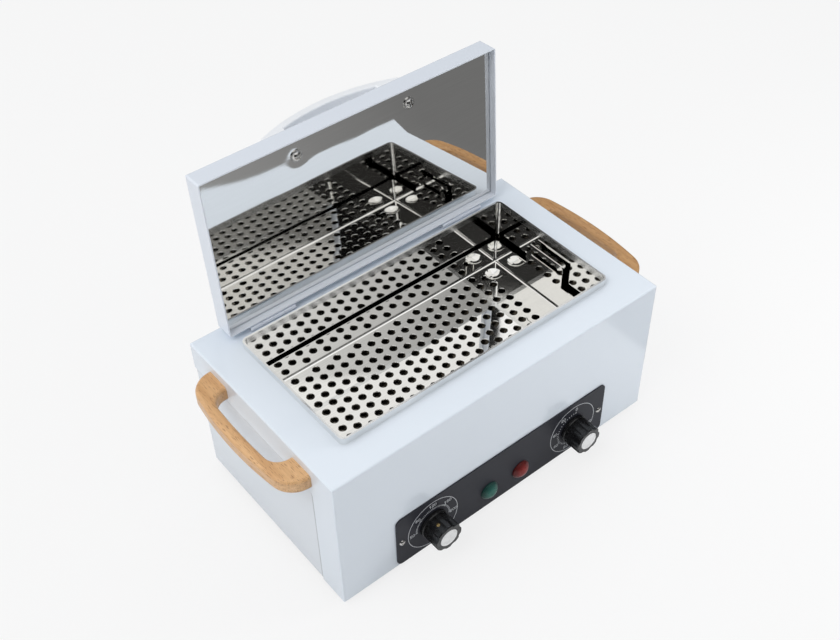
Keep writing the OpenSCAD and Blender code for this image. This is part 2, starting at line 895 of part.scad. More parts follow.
module bulb_clips() {
    clip_t = 0.8;
    clip_w = 6;
    outer_r = bulb_r + run_gap + clip_t;
    color(plated)
        for (x = [capillary_x + 24, capillary_x + 72])
            translate([x, bulb_y, bulb_z])
                rotate([90, 0, 90])
                    linear_extrude(clip_w)
                        difference() {
                            union() {
                                circle(outer_r);
                                translate([-outer_r, 0])
                                    square([2 * outer_r, bulb_r]);
                                translate([-outer_r - 4, bulb_r - clip_t])
                                    square([2 * outer_r + 8, clip_t]);
                            }
                            circle(bulb_r + run_gap);
                            translate([-bulb_r - run_gap, 0])
                                square([2 * (bulb_r + run_gap), bulb_r + cut]);
                            translate([-outer_r - cut, bulb_r])
                                square([2 * outer_r + 2 * cut, outer_r]);
                        }
}

// Control panel

module control_panel() {
    color(charcoal)
        difference() {
            translate([panel_x, -face_y, bottom_z + panel_rise + panel_h / 2])
                rotate([90, 0, 0])
                    linear_extrude(panel_t)
                        round_rect(panel_w, panel_h, panel_r);
            panel_holes(panel_face_y - cut, -face_y + cut);
        }
}

module panel_screws() {
    color(plated)
        for (sx = [-1, 1])
            translate([panel_x + sx * panel_screw_spacing / 2, panel_face_y, dial_world_z])
                rotate([90, 0, 0])
                    rotate(sx * 20)
                        pan_screw(panel_screw_r, panel_head_r, panel_head_h,
                                  panel_t + sheet_t + small_screw_tip);
}

// Bushing and body of a rotary control: the body lies behind the cover
module rotary_control(w, h, length) {
    shaft_end_y = -inner_y + shaft_in;
    plate_t = 1.4;
    tab_l = 7;
    difference() {
        union() {
            translate([-w / 2, -inner_y, -h / 2])
                cube([w, plate_t, h]);
            translate([0, -inner_y + length, 0])
                rotate([90, 0, 0])
                    linear_extrude(length)
                        round_rect(w - 4, h - 4, 2);
            rod_y(bushing_r, panel_face_y - bushing_out, -inner_y + cut);
            for (sx = [-1, 1])
                translate([sx * w / 5 - 0.4, -inner_y + length - cut, -3])
                    cube([0.8, tab_l + cut, 6]);
        }
        rod_y(shaft_r + run_gap, panel_face_y - bushing_out - cut, shaft_end_y + fit_gap);
    }
}

module thermostat_body() {
    color(black)
        at_dial(0)
            rotary_control(thermostat_w, thermostat_h, thermostat_l);
}

module timer_body() {
    color(alloy)
        at_dial(1)
            rotary_control(timer_w, timer_w, timer_l);
}

module bushing_nuts() {
    color(plated)
        for (i = [0, 1])
            at_dial(i)
                translate([0, panel_face_y, 0])
                    rotate([90, 0, 0])
                        hex_nut(nut_af, nut_t, bushing_r + run_gap);
}

// Knob parts: the axis is Z, the back face is z = 0 and the front points up
module knob_form() {
    chamfer = 0.7;
    flute_step = 0.35;
    flute_at = knob_r + flute_r - flute_depth;
    difference() {
        rotate_extrude()
            polygon([[0, 0], [knob_skirt_r, 0], [knob_skirt_r, knob_skirt_t - chamfer],
                     [knob_r, knob_skirt_t], [knob_r, knob_l - chamfer], [knob_r - chamfer, knob_l],
                     [0, knob_l]]);
        for (i = [0 : knob_flutes - 1])
            rotate(i * 360 / knob_flutes)
                translate([flute_at, 0, knob_skirt_t + flute_step])
                    cylinder(r = flute_r, h = knob_l);
        translate([0, 0, -cut])
            cylinder(r = knob_recess_r, h = knob_recess_h + cut);
        translate([0, 0, knob_recess_h - cut])
            cylinder(r = shaft_r + run_gap, h = knob_l - knob_front_wall - knob_recess_h + cut);
        translate([0, 0, knob_l - disc_seat])
            cylinder(r = disc_r + run_gap, h = disc_seat + cut);
        translate([0, 0, set_screw_at])
            rod_x(set_screw_r + run_gap, 0, knob_r + cut);
    }
}

module knob_disc_form() {
    bevel = 0.3;
    translate([0, 0, knob_l - disc_seat])
        rotate_extrude()
            polygon([[0, 0], [disc_r, 0], [disc_r, disc_t - bevel], [disc_r - bevel, disc_t], [0, disc_t]]);
}

module shaft_form() {
    back = knob_back_y + inner_y - shaft_in;
    front = knob_l - knob_front_wall - fit_gap;
    flat_l = front - knob_recess_h;
    difference() {
        translate([0, 0, back])
            cylinder(r = shaft_r, h = front - back);
        translate([shaft_r - shaft_flat, -shaft_r, front - flat_l])
            cube([shaft_r, 2 * shaft_r, flat_l + cut]);
    }
}

module set_screw_form() {
    outer = knob_r - set_screw_sunk;
    slot = 0.6;
    translate([0, 0, set_screw_at])
        difference() {
            rod_x(set_screw_r, shaft_r - shaft_flat, outer);
            translate([outer - slot, -slot / 2, -set_screw_r - cut])
                cube([2 * slot, slot, 2 * set_screw_r + 2 * cut]);
        }
}

// Turns a knob piece on to dial i, with its screw flute at the given clock angle
module on_dial(i, angle) {
    translate([dial_xs[i], knob_back_y, dial_world_z])
        rotate([90, 0, 0])
            rotate(angle)
                children();
}

module temperature_knob() {
    color(black)
        on_dial(0, flute_angle)
            knob_form();
}

module temperature_disc() {
    color(alloy)
        on_dial(0, flute_angle)
            knob_disc_form();
}

module temperature_shaft() {
    color(plated)
        on_dial(0, flute_angle)
            shaft_form();
}

module temperature_set_screw() {
    color(brass)
        on_dial(0, flute_angle)
            set_screw_form();
}

module timer_knob() {
    color(black)
        on_dial(1, timer_screw_angle)
            knob_form();
}

module timer_disc() {
    color(alloy)
        on_dial(1, timer_screw_angle)
            knob_disc_form();
}

module timer_shaft() {
    color(plated)
        on_dial(1, timer_screw_angle)
            shaft_form();
}

module timer_set_screw() {
    color(brass)
        on_dial(1, timer_screw_angle)
            set_screw_form();
}

// Lamps

module lamp_lens(i) {
    dome_r = lamp_r - hole_gap;
    ball_r = (dome_r * dome_r + lamp_dome_h * lamp_dome_h) / (2 * lamp_dome_h);
    translate([lamp_xs[i], panel_face_y, lamp_world_z])
        rotate([90, 0, 0]) {
            cylinder(r = lamp_r, h = lamp_flange_t);
            intersection() {
                translate([0, 0, lamp_flange_t + lamp_dome_h - ball_r])
                    sphere(ball_r);
                cylinder(r = dome_r, h = lamp_flange_t + lamp_dome_h);
            }
            translate([0, 0, -lamp_spigot_l])
                cylinder(r = lamp_spigot_r, h = lamp_spigot_l + 0.5);
        }
}

module green_lamp_lens() {
    color([0.12, 0.42, 0.36])
        lamp_lens(0);
}

module red_lamp_lens() {
    color([0.6, 0.12, 0.12])
        lamp_lens(1);
}

module lamp_holders() {
    holder_end_y = -inner_y + lamp_holder_l;
    bore_end_y = panel_face_y + lamp_spigot_l + fit_gap;
    color(black)
        for (x = lamp_xs)
            translate([x, 0, lamp_world_z])
                difference() {
                    union() {
                        rod_y(lamp_holder_r, -inner_y, holder_end_y);
                        for (sx = [-1, 1])
                            translate([sx * 3 - 0.4, holder_end_y - cut, -1.5])
                                cube([0.8, 6 + cut, 3]);
                    }
                    rod_y(lamp_spigot_r + run_gap, -inner_y - cut, bore_end_y);
                }
}

// Wooden handles: plan outlines with the cabinet's side at x = 0 and the grip at +x

// Points of an arc, both ends included
function arc(x, y, r, from, to, steps) =
    [for (i = [0 : steps]) [x + r * cos(from + (to - from) * i / steps),
                            y + r * sin(from + (to - from) * i / steps)]];

// Bar from behind the cabinet's side out to a bowed face whose ends turn in tangent arcs
module bowed_bar(bow_x, bow_r, corner_x, corner_y, corner_r) {
    lean = atan2(corner_y, corner_x - bow_x);
    step = lean / 8;
    polygon(concat(
        [[-grip_out, -corner_y - corner_r]],
        arc(corner_x, -corner_y, corner_r, -90, -lean, 12),
        arc(bow_x, 0, bow_r, -lean + step, lean - step, 14),
        arc(corner_x, corner_y, corner_r, lean, 90, 12),
        [[-grip_out, corner_y + corner_r]]));
}

module grip_outline(shrink) {
    half = grip_l / 2;
    bow_r = (half * half + grip_bow * grip_bow) / (2 * grip_bow);
    bow_x = grip_out - bow_r;
    corner_y = half - grip_corner_r;
    corner_x = bow_x + sqrt(pow(bow_r - grip_corner_r, 2) - corner_y * corner_y);
    gap_bow_r = 1.6 * bow_r;
    gap_bow_x = grip_out - grip_t - gap_bow_r;
    gap_y = half - grip_foot_l - grip_inner_r;
    gap_x = gap_bow_x + sqrt(pow(gap_bow_r - grip_inner_r, 2) - gap_y * gap_y);
    difference() {
        bowed_bar(bow_x, bow_r - shrink, corner_x, corner_y, grip_corner_r - shrink);
        bowed_bar(gap_bow_x, gap_bow_r + shrink, gap_x, gap_y, grip_inner_r + shrink);
    }
}

module grip() {
    color(beech)
        difference() {
            translate([side_x, 0, grip_world_z])
                intersection() {
                    minkowski() {
                        translate([0, 0, -grip_h / 2 + grip_edge_r])
                            linear_extrude(grip_h - 2 * grip_edge_r)
                                grip_outline(grip_edge_r);
                        sphere(grip_edge_r, $fn = 20);
                    }
                    translate([0, -grip_l, -grip_h])
                        cube([2 * grip_out, 2 * grip_l, 2 * grip_h]);
                }
            for (sy = [-1, 1])
                translate([side_x, sy * grip_screw_y, grip_world_z])
                    rod_x(grip_screw_r + run_gap, -cut, grip_screw_depth);
        }
}

module right_handle() {
    grip();
}

module left_handle() {
    mirror([1, 0, 0])
        grip();
}

module handle_screws() {
    color(plated)
        for (sx = [-1, 1], sy = [-1, 1])
            translate([sx * wrap_in_x, sy * grip_screw_y, grip_world_z])
                rotate([0, -sx * 90, 0])
                    pan_screw(grip_screw_r, grip_head_r, grip_head_h, 2 * sheet_t + grip_screw_depth - cut);
}

// Hinges: pieces for one hinge in its closed place, with the hinge line along X

module knuckle(x0, x1) {
    difference() {
        rod_x(knuckle_r, x0, x1);
        rod_x(pin_r + run_gap, x0 - cut, x1 + cut);
    }
}

module fixed_leaf() {
    half = hinge_l / 2;
    leaf_z = -knuckle_r - fit_gap;
    difference() {
        union() {
            translate([-half, 0, leaf_z])
                cube([hinge_l, leaf_w + knuckle_r, leaf_t]);
            for (x0 = [-half, half - knuckle_l])
                rod_x(knuckle_r, x0, x0 + knuckle_l);
        }
        rod_x(pin_r + run_gap, -half - cut, half + cut);
        translate([-half + knuckle_l, -knuckle_r - cut, leaf_z - cut])
            cube([hinge_l - 2 * knuckle_l, 2 * knuckle_r + cut + fit_gap, 2 * knuckle_r + 2 * cut]);
    }
}

module moving_leaf() {
    half = hinge_l / 2;
    inner_x = half - knuckle_l - knuckle_gap;
    web_h = 1.2;
    difference() {
        union() {
            translate([-half, -hinge_back, 0])
                cube([hinge_l, leaf_t, leaf_w]);
            translate([-inner_x, -hinge_back, 0])
                cube([2 * inner_x, hinge_back - pin_r - 0.3, web_h]);
            rod_x(knuckle_r, -inner_x, inner_x);
        }
        rod_x(pin_r + run_gap, -half - cut, half + cut);
    }
}

module at_hinges() {
    for (sx = [-1, 1])
        translate([sx * hinge_spacing / 2, hinge_y, hinge_z])
            children();
}

module hinge_fixed_leaves() {
    color(paint)
        at_hinges()
            fixed_leaf();
}

module hinge_moving_leaves() {
    color(paint)
        lid_pose()
            at_hinges()
                moving_leaf();
}

module hinge_pins() {
    color(plated)
        at_hinges()
            rod_x(pin_r, -hinge_l / 2, hinge_l / 2);
}

// Lid

module lid_screw_holes(r, z0, z1) {
    for (sx = [-1, 1])
        translate([sx * lid_screw_x, lid_handle_y, z0])
            cylinder(r = r, h = z1 - z0);
}

module lid_shell() {
    color(paint)
        lid_pose()
            difference() {
                translate([0, chamber_y, lid_z])
                    folded_box(lid_w, lid_d, lid_h, fold_r);
                translate([0, chamber_y, lid_z - cut])
                    folded_box(lid_w - 2 * sheet_t, lid_d - 2 * sheet_t,
                               lid_h - sheet_t + cut, fold_r - sheet_t);
                lid_screw_holes(lid_screw_r + hole_gap, lid_top_z - 2 * sheet_t, lid_top_z + cut);
            }
}

module lid_inner_plate() {
    color(stainless)
        lid_pose()
            difference() {
                translate([0, chamber_y, plate_z])
                    folded_pan(lid_plate_w, lid_plate_d, plate_flange_h, fold_r);
                translate([0, chamber_y, plate_z + steel_t])
                    folded_pan(lid_plate_w - 2 * steel_t, lid_plate_d - 2 * steel_t, plate_flange_h,
                               fold_r - steel_t);
                lid_screw_holes(lid_screw_r + hole_gap, plate_z - cut, plate_z + 2 * steel_t);
            }
}

module lid_insulation() {
    low_z = plate_z + steel_t + fit_gap;
    high_z = lid_top_z - sheet_t - fit_gap;
    pad_w = lid_plate_w - 2 * (steel_t + fit_gap);
    pad_d = lid_plate_d - 2 * (steel_t + fit_gap);
    color(wool)
        lid_pose()
            difference() {
                translate([0, chamber_y, low_z])
                    linear_extrude(high_z - low_z)
                        round_rect(pad_w, pad_d, 2);
                lid_screw_holes(lid_screw_r + fit_gap, low_z - cut, high_z + cut);
            }
}

// Side view of the lid handle, standing on z = 0
module lid_handle_outline(shrink) {
    half = lid_handle_l / 2;
    arc_r = (half * half + lid_handle_drop * lid_handle_drop) / (2 * lid_handle_drop);
    gap_half = half - lid_foot_l;
    difference() {
        intersection() {
            translate([0, lid_handle_h - arc_r])
                circle(arc_r - shrink, $fn = 180);
            translate([-half + shrink, shrink])
                square([lid_handle_l - 2 * shrink, lid_handle_h]);
        }
        intersection() {
            translate([0, lid_handle_h - lid_bar_t - arc_r])
                circle(arc_r + shrink, $fn = 180);
            translate([-gap_half - shrink, -cut])
                square([2 * (gap_half + shrink), lid_handle_h]);
        }
    }
}

module lid_handle() {
    color(paint)
        lid_pose()
            difference() {
                translate([0, lid_handle_y, lid_top_z])
                    intersection() {
                        minkowski() {
                            translate([0, lid_handle_w / 2 - lid_handle_edge, 0])
                                rotate([90, 0, 0])
                                    linear_extrude(lid_handle_w - 2 * lid_handle_edge)
                                        lid_handle_outline(lid_handle_edge);
                            sphere(lid_handle_edge, $fn = 12);
                        }
                        translate([-lid_handle_l, -lid_handle_w, 0])
                            cube([2 * lid_handle_l, 2 * lid_handle_w, 2 * lid_handle_h]);
                    }
                lid_screw_holes(lid_screw_r + run_gap, lid_top_z - cut, lid_top_z + lid_screw_depth);
            }
}

module lid_handle_screws() {
    color(plated)
        lid_pose()
            for (sx = [-1, 1])
                translate([sx * lid_screw_x, lid_handle_y, plate_z - washer_t])
                    mirror([0, 0, 1])
                        rotate(sx * 25)
                            pan_screw(lid_screw_r, lid_head_r, lid_head_h,
                                      lid_top_z - plate_z + washer_t + lid_screw_depth - cut);
}

module lid_handle_washers() {
    color(plated)
        lid_pose()
            for (sx = [-1, 1])
                translate([sx * lid_screw_x, lid_handle_y, plate_z - washer_t])
                    difference() {
                        cylinder(r = washer_r, h = washer_t);
                        translate([0, 0, -cut])
                            cylinder(r = lid_screw_r + hole_gap, h = washer_t + 2 * cut);
                    }
}

// Mains parts

module terminal_block() {
    ways = 3;
    pitch = terminal_w / ways;
    color(wool)
        difference() {
            translate([terminal_x, terminal_y - terminal_d / 2, floor_z])
                cube([terminal_w, terminal_d, terminal_h]);
            for (i = [0 : ways - 1]) {
                translate([terminal_x + (i + 0.5) * pitch, 0, floor_z + terminal_h / 2])
                    rod_y(2, terminal_y - terminal_d, terminal_y + terminal_d);
                for (sy = [-1, 1])
                    translate([terminal_x + (i + 0.5) * pitch, terminal_y + sy * terminal_d / 4, 0])
                        translate([0, 0, floor_z + terminal_h - 4])
                            cylinder(r = 1.8, h = 4 + cut);
            }
        }
}

module earth_stud() {
    color(brass)
        translate([earth_x, terminal_y, 0]) {
            translate([0, 0, pan_z - 1.6])
                cylinder(r = 3.4, h = 1.6);
            translate([0, 0, pan_z - 0.5])
                cylinder(r = foot_screw_r, h = 18);
            translate([0, 0, floor_z])
                hex_nut(7, 3.2, foot_screw_r - run_gap);
        }
}

module power_inlet() {
    color(black)
        translate([inlet_x, 0, inlet_z])
            difference() {
                union() {
                    translate([-inlet_flange_w / 2, wrap_y, -inlet_flange_h / 2])
                        cube([inlet_flange_w, inlet_flange_t, inlet_flange_h]);
                    translate([-inlet_w / 2, wrap_y - inlet_l, -inlet_h / 2])
                        cube([inlet_w, inlet_l + cut, inlet_h]);
                }
                translate([-socket_w / 2, wrap_y + inlet_flange_t - socket_depth, -socket_h / 2])
                    cube([socket_w, socket_depth + cut, socket_h]);
                for (sx = [-1, 1])
                    translate([sx * inlet_screw_x, 0, 0])
                        rod_y(base_screw_r + hole_gap, wrap_y - cut, wrap_y + inlet_flange_t + cut);
            }
}

module inlet_pins() {
    socket_end_y = wrap_y + inlet_flange_t - socket_depth;
    color(brass)
        translate([inlet_x, 0, inlet_z])
            for (p = [[-7, 2], [0, -2], [7, 2]])
                translate([p[0] - 1, socket_end_y, p[1] - 2])
                    cube([2, blade_l, 4]);
}

module inlet_screws() {
    color(plated)
        for (sx = [-1, 1])
            translate([inlet_x + sx * inlet_screw_x, wrap_y + inlet_flange_t, inlet_z])
                rotate([-90, 0, 0])
                    pan_screw(base_screw_r, small_head_r, small_head_h,
                              inlet_flange_t + sheet_t + small_screw_tip);
}

base_pan();
outer_cover();
rear_wrap();
feet();
foot_screws();
foot_nuts();
base_screws();
chamber_liner();
tray();
insulation_jacket();
heat_shield();
heater_plate();
heater_element();
heater_straps();
strap_screws();
thermal_cutout();
sensing_bulb();
bulb_clips();
control_panel();
panel_screws();
thermostat_body();
timer_body();
bushing_nuts();
green_lamp_lens();
red_lamp_lens();
lamp_holders();
left_handle();
right_handle();
handle_screws();
hinge_fixed_leaves();
hinge_pins();
terminal_block();
earth_stud();
power_inlet();
inlet_pins();
inlet_screws();
lid_shell();
lid_inner_plate();
lid_insulation();
lid_handle();
lid_handle_screws();
lid_handle_washers();
hinge_moving_leaves();
temperature_knob();
temperature_disc();
temperature_shaft();
temperature_set_screw();
timer_knob();
timer_disc();
timer_shaft();
timer_set_screw();
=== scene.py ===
import math

import bpy
from mathutils import Matrix, Vector


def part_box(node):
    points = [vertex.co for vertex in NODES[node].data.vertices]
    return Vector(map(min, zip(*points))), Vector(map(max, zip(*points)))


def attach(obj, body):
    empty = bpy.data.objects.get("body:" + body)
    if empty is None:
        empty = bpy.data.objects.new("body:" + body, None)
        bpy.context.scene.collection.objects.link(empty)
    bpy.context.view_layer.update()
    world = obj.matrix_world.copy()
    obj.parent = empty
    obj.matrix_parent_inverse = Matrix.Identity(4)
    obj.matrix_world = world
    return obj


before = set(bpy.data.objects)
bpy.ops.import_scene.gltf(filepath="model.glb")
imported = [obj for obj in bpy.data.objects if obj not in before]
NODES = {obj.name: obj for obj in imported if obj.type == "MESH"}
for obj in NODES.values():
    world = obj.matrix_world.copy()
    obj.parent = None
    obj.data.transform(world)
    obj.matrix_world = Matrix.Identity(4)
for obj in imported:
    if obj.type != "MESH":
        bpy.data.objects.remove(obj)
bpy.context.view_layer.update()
scene = bpy.context.scene

# Camera, from one perspective fit of the photograph
PHOTO_W, PHOTO_H = 840.0, 640.0
FOCAL_PX = 1174.62
PRINCIPAL_X, PRINCIPAL_Y = 420.5226, 333.8804
SENSOR_W = 36.0
CAMERA_PLACE = (-0.4268137, -0.5319870, 0.7985155)
CAMERA_RIGHT = Vector((0.775342434, -0.631318201, -0.016776149))
CAMERA_UP = Vector((0.453483857, 0.538057342, 0.710525642))
CAMERA_AHEAD = Vector((0.439541240, 0.558508393, -0.703471302))


def add_camera():
    data = bpy.data.cameras.new("camera")
    data.sensor_fit = "HORIZONTAL"
    data.sensor_width = SENSOR_W
    data.lens = FOCAL_PX / PHOTO_W * SENSOR_W
    data.shift_x = -(PRINCIPAL_X - PHOTO_W / 2) / PHOTO_W
    data.shift_y = (PRINCIPAL_Y - PHOTO_H / 2) / PHOTO_W
    data.clip_start = 0.02
    data.clip_end = 50.0
    camera = bpy.data.objects.new("camera", data)
    scene.collection.objects.link(camera)
    turn = Matrix((CAMERA_RIGHT, CAMERA_UP, -CAMERA_AHEAD)).transposed()
    camera.matrix_world = Matrix.Translation(CAMERA_PLACE) @ turn.to_4x4()
    scene.camera = camera


add_camera()


# Colours and nodes
def lin(r, g, b):
    """sRGB 0-255 to linear RGBA."""
    out = []
    for v in (r, g, b):
        v /= 255.0
        out.append(v / 12.92 if v <= 0.04045 else ((v + 0.055) / 1.055) ** 2.4)
    return (out[0], out[1], out[2], 1.0)


def grey(level):
    return (level, level, level, 1.0)


def shade(colour, k):
    """The colour made k times as bright, up to full brightness."""
    return (min(colour[0] * k, 1.0), min(colour[1] * k, 1.0), min(colour[2] * k, 1.0), 1.0)


class Nodes:
    """Adds, sets and links the nodes of one tree."""

    def __init__(self, tree):
        self.tree = tree
        self.tree.nodes.clear()

    def add(self, kind, **props):
        node = self.tree.nodes.new(kind)
        for key, value in props.items():
            setattr(node, key, value)
        return node

    def link(self, source, socket):
        self.tree.links.new(source, socket)

    def feed(self, socket, value):
        """Links the value if it is an output of another node, or else sets it on the socket."""
        if isinstance(value, bpy.types.NodeSocket):
            self.link(value, socket)
        else:
            socket.default_value = value

    def axes(self, vector):
        """The X, Y and Z of a vector."""
        split = self.add("ShaderNodeSeparateXYZ")
        self.link(vector, split.inputs[0])
        return [split.outputs[axis] for axis in "XYZ"]

    def maths(self, operation, *values):
        node = self.add("ShaderNodeMath", operation=operation)
        for socket, value in zip(node.inputs, values):
            self.feed(socket, value)
        return node.outputs[0]

    def remap(self, fac, lo, hi, from_lo=0.3, from_hi=0.7, interpolation="LINEAR"):
        node = self.add("ShaderNodeMapRange", interpolation_type=interpolation)
        node.inputs["From Min"].default_value = from_lo
        node.inputs["From Max"].default_value = from_hi
        node.inputs["To Min"].default_value = lo
        node.inputs["To Max"].default_value = hi
        self.link(fac, node.inputs["Value"])
        return node.outputs["Result"]

    def glow(self, kind, colour, strength=1.0):
        """An emission or background shader."""
        node = self.add(kind)
        node.inputs["Color"].default_value = colour
        self.feed(node.inputs["Strength"], strength)
        return node.outputs[0]

    def blend(self, fac, first, second):
        """A mix of two shaders."""
        node = self.add("ShaderNodeMixShader")
        self.link(fac, node.inputs["Fac"])
        self.link(first, node.inputs[1])
        self.link(second, node.inputs[2])
        return node.outputs[0]


class Net(Nodes):
    """A material with one principled shader whose textures sit in the object's own place."""

    def __init__(self, name):
        self.mat = bpy.data.materials.new(name)
        self.mat.use_nodes = True
        super().__init__(self.mat.node_tree)
        self.out = self.add("ShaderNodeOutputMaterial")
        self.shader = self.add("ShaderNodeBsdfPrincipled")
        self.link(self.shader.outputs["BSDF"], self.out.inputs["Surface"])
        self.coord = self.add("ShaderNodeTexCoord").outputs["Object"]

    def set(self, name, value):
        self.shader.inputs[name].default_value = value

    def base(self, colour):
        self.link(colour, self.shader.inputs["Base Color"])

    def rough(self, fac):
        self.link(fac, self.shader.inputs["Roughness"])

    def normal(self, vector):
        self.link(vector, self.shader.inputs["Normal"])

    def stretch(self, scale, place=(0, 0, 0), rotate=(0, 0, 0)):
        node = self.add("ShaderNodeMapping")
        node.inputs["Location"].default_value = place
        node.inputs["Rotation"].default_value = rotate
        node.inputs["Scale"].default_value = scale
        self.link(self.coord, node.inputs["Vector"])
        return node.outputs["Vector"]

    def noise(self, scale, detail=3.0, rough=0.55, vector=None, distortion=0.0):
        node = self.add("ShaderNodeTexNoise")
        node.inputs["Scale"].default_value = scale
        node.inputs["Detail"].default_value = detail
        node.inputs["Roughness"].default_value = rough
        node.inputs["Distortion"].default_value = distortion
        self.link(vector or self.coord, node.inputs["Vector"])
        return node.outputs["Fac"]

    def rings(self, scale, vector, distortion, detail, detail_scale):
        """Rings round the Y axis."""
        node = self.add("ShaderNodeTexWave", wave_type="RINGS", rings_direction="Y")
        node.inputs["Scale"].default_value = scale
        node.inputs["Distortion"].default_value = distortion
        node.inputs["Detail"].default_value = detail
        node.inputs["Detail Scale"].default_value = detail_scale
        self.link(vector, node.inputs["Vector"])
        return node.outputs["Fac"]

    def ramp(self, fac, stops):
        node = self.add("ShaderNodeValToRGB")
        elements = node.color_ramp.elements
        while len(elements) < len(stops):
            elements.new(0.5)
        for element, (position, colour) in zip(elements, stops):
            element.position = position
            element.color = colour
        self.link(fac, node.inputs["Fac"])
        return node.outputs["Color"]

    def mottle(self, fac, colour, dark, bright):
        """The colour, from dark to bright times its brightness over the middle of a texture."""
        return self.ramp(fac, [(0.3, shade(colour, dark)), (0.7, shade(colour, bright))])

    def mix(self, fac, first, second, blend="MIX"):
        node = self.add("ShaderNodeMix", data_type="RGBA", blend_type=blend)
        # Inputs 6 and 7 and output 2 are the node's colours
        for socket, value in ((node.inputs[0], fac), (node.inputs[6], first), (node.inputs[7], second)):
            self.feed(socket, value)
        return node.outputs[2]

    def bump(self, fac, strength, distance, after=None):
        node = self.add("ShaderNodeBump")
        node.inputs["Strength"].default_value = strength
        node.inputs["Distance"].default_value = distance
        self.link(fac, node.inputs["Height"])
        if after is not None:
            self.link(after, node.inputs["Normal"])
        return node.outputs["Normal"]


def middle(node):
    lo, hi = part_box(node)
    return [(a + b) / 2 for a, b in zip(lo, hi)]


# Materials
# How far past a flange's edge the painted shadow line below it starts and ends to fade
SEAM_SHADE_NEAR, SEAM_SHADE_FAR = 0.0023, 0.0036


def enamel(name, colour, rough, peel, coat, seam=None, spec=0.5):
    """Baked enamel on sheet metal: faint orange peel and cloudiness, a painted shadow line where it runs
    under a seam.

    The seam is the Y at which a flange in front ends and the Z at which a flange on top ends."""
    m = Net(name)
    tone = m.ramp(m.noise(9.0), [(0.0, shade(colour, 0.985)), (1.0, shade(colour, 1.01))])
    if seam:
        seam_y, seam_z = seam
        _, y, z = m.axes(m.coord)
        # Painted shade: a patchy dark line just past the flanges' edges, where their shadow falls on the
        # wrap
        away = m.maths("MINIMUM", m.maths("SUBTRACT", y, seam_y), m.maths("SUBTRACT", seam_z, z))
        near = m.remap(away, 1.0, 0.0, SEAM_SHADE_NEAR, SEAM_SHADE_FAR)
        seam_shade = m.maths("MULTIPLY", near, m.remap(m.noise(160.0), 0.6, 0.85))
        tone = m.mix(seam_shade, tone, shade(colour, 0.4))
    m.base(tone)
    m.rough(m.remap(m.noise(38.0, 4.0), rough * 0.94, rough * 1.06, 0.0, 1.0))
    m.normal(m.bump(m.noise(1500.0, 2.0), peel, 0.00003))
    m.set("Metallic", 0.0)
    m.set("Coat Weight", coat)
    m.set("Coat Roughness", 0.12)
    m.set("Specular IOR Level", spec)
    return m.mat


# Texture scale of rolled sheet, whose fine lines run along X
ROLLED = (26.0, 1500.0, 1500.0)
HEAT_TINT_AND_SHADE = (0.3, 0.28, 0.25, 1)
HEM_REFLECTION_DARK, HEM_REFLECTION_BRIGHT = (0.72, 0.73, 0.73, 1), (0.9, 0.9, 0.89, 1)
HEAT_FADE, HEM_FADE = 0.0025, 0.0006


def steel(name, colour, rough, lines, floor_z=None, hem_z=None):
    """Rolled stainless sheet with long fine lines and faint smudges.

    With floor_z and hem_z it is dark and dull up to floor_z, heat tint and painted shade under the tray, and
    darker above hem_z, a painted dark reflection on the hem."""
    m = Net(name)
    streak = m.noise(1.0, 3.0, 0.6, m.stretch(ROLLED))
    tone = m.mottle(streak, colour, 0.94, 1.03)
    wipe = m.noise(22.0, 4.0, 0.6, distortion=0.8)
    dull = m.remap(wipe, rough * 0.65, rough * 1.35)
    if floor_z is not None:
        z = m.axes(m.coord)[2]
        # Heat tint and painted shade: the floor under the tray is darker and duller
        heat_tint_and_shade = m.remap(z, 1.0, 0.0, floor_z, floor_z + HEAT_FADE)
        tone = m.mix(heat_tint_and_shade, tone, HEAT_TINT_AND_SHADE)
        dull = m.maths("ADD", dull, m.maths("MULTIPLY", heat_tint_and_shade, 0.16))
        # Painted dark reflection: the hem above hem_z is darker in patches
        hem_reflection = m.remap(z, 0.0, 1.0, hem_z, hem_z + HEM_FADE)
        tone = m.mix(hem_reflection, tone, m.ramp(wipe, [(0.3, HEM_REFLECTION_DARK), (0.7, HEM_REFLECTION_BRIGHT)]))
        dull = m.maths("ADD", dull, m.maths("MULTIPLY", hem_reflection, 0.1))
    m.base(tone)
    m.rough(dull)
    m.normal(m.bump(streak, lines, 0.00004))
    m.set("Metallic", 1.0)
    return m.mat


def plated(name, colour, rough):
    """Zinc-plated or nickel-plated small hardware."""
    m = Net(name)
    m.base(m.mottle(m.noise(600.0), colour, 0.86, 1.06))
    m.rough(m.remap(m.noise(900.0), rough * 0.8, rough * 1.25))
    m.normal(m.bump(m.noise(2600.0, 2.0), 0.12, 0.00004))
    m.set("Metallic", 1.0)
    return m.mat


def moulded(name, colour, rough, grain, coat=0.0, spec=0.5, cast=0.1):
    """Moulded plastic or rubber: fine eroded grain, slightly uneven colour and gloss."""
    m = Net(name)
    m.base(m.mottle(m.noise(60.0), colour, 1 - cast, 1 + cast))
    m.rough(m.remap(m.noise(220.0), rough * 0.85, rough * 1.15))
    m.normal(m.bump(m.noise(2400.0), grain, 0.00006))
    m.set("Metallic", 0.0)
    m.set("Coat Weight", coat)
    m.set("Coat Roughness", 0.08)
    m.set("Specular IOR Level", spec)
    return m.mat


def spun(name, colour, centre, rough):
    """Turned and lacquered metal face: fine rings round its centre."""
    m = Net(name)
    from_centre = m.stretch((1, 1, 1), (-centre[0], -centre[1], -centre[2]))
    rings = m.rings(900.0, from_centre, distortion=0.4, detail=2.0, detail_scale=2.0)
    tone = m.ramp(rings, [(0.1, shade(colour, 0.94)), (0.9, shade(colour, 1.03))])
    stain = m.remap(m.noise(260.0, 3.0, 0.6), 0.0, 0.5, 0.5, 0.75)
    m.base(m.mix(stain, tone, shade(colour, 0.72)))
    m.rough(m.remap(rings, rough * 0.85, rough * 1.15, 0.0, 1.0))
    m.normal(m.bump(rings, 0.1, 0.00002))
    m.set("Metallic", 0.15)
    return m.mat


